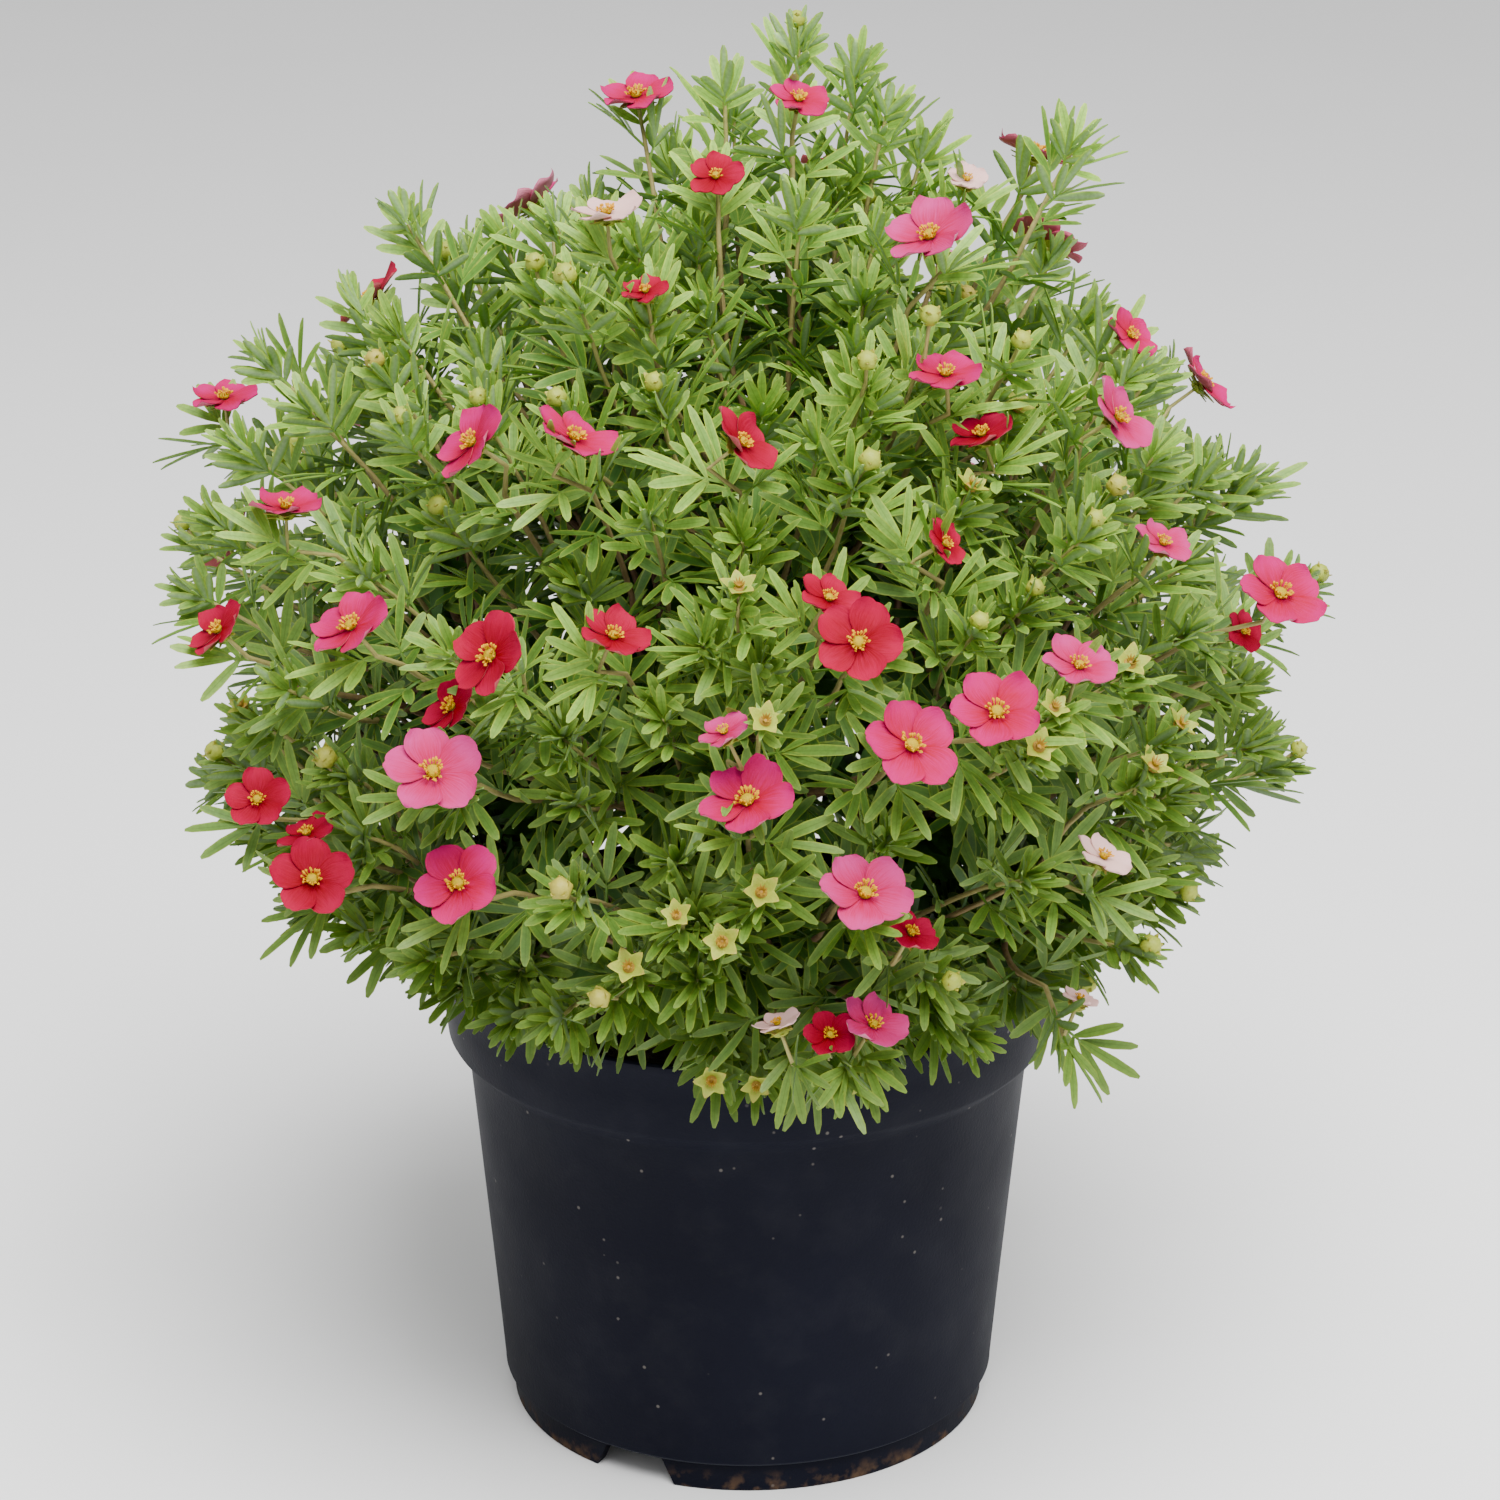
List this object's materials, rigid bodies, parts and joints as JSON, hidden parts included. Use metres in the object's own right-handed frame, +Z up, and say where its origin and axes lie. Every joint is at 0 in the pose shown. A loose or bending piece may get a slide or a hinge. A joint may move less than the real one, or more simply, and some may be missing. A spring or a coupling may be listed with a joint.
{
  "type": "potted shrubby cinquefoil",
  "caption": "Low rounded flowering shrub of narrow fan-like leaves and pink to red five-petalled blooms, standing in a round dark nursery pot.",
  "frame": {"origin": "on the floor under the middle of the pot's foot", "axes": "+Z up, -Y towards the front of the plant, +X to its right seen from the front"},
  "size_m": [0.3575, 0.3619, 0.4359],
  "materials": {
    "pot": "matt dark navy-black moulded plastic with dust and soil marks",
    "soil": "dark crumbly potting compost",
    "foliage": "soft satin green leaves with paler edges on brown twigs",
    "petals_pink": "silky pink petals",
    "petals_red": "silky red petals",
    "petals_light_pink": "silky light pink petals"
  },
  "bodies": {
    "root": {"pot": "pot", "soil": "soil", "stem_01": "foliage", "stem_02": "foliage", "stem_03": "foliage", "stem_04": "foliage", "stem_05": "foliage", "stem_06": "foliage", "stem_07": "foliage", "stem_08": "foliage", "stem_09": "foliage", "stem_10": "foliage", "stem_11": "foliage", "stem_12": "foliage", "stem_13": "foliage", "stem_14": "foliage", "bloom_01": "petals_pink", "bloom_02": "petals_pink", "bloom_03": "petals_red", "bloom_04": "petals_light_pink", "bloom_05": "petals_light_pink", "bloom_06": "petals_light_pink", "bloom_07": "petals_red", "bloom_08": "petals_pink", "bloom_09": "petals_pink", "bloom_10": "petals_red", "bloom_11": "petals_light_pink", "bloom_12": "petals_pink", "bloom_13": "petals_pink", "bloom_14": "petals_pink", "bloom_15": "petals_red", "bloom_16": "petals_pink", "bloom_17": "petals_red", "bloom_18": "petals_red", "bloom_19": "petals_pink", "bloom_20": "petals_red", "bloom_21": "petals_red", "bloom_22": "petals_red", "bloom_23": "petals_red", "bloom_24": "petals_red", "bloom_25": "petals_pink", "bloom_26": "petals_red", "bloom_27": "petals_light_pink", "bloom_28": "petals_light_pink", "bloom_29": "petals_pink", "bloom_30": "petals_pink", "bloom_31": "petals_light_pink", "bloom_32": "petals_pink", "bloom_33": "petals_light_pink", "bloom_34": "petals_red", "bloom_35": "petals_red", "bloom_36": "petals_red", "bloom_37": "petals_pink", "bloom_38": "petals_light_pink", "bloom_39": "petals_red", "bloom_40": "petals_light_pink", "bloom_41": "petals_red", "bloom_42": "petals_light_pink", "bloom_43": "petals_light_pink", "bloom_44": "petals_light_pink"}
  },
  "joints": []
}
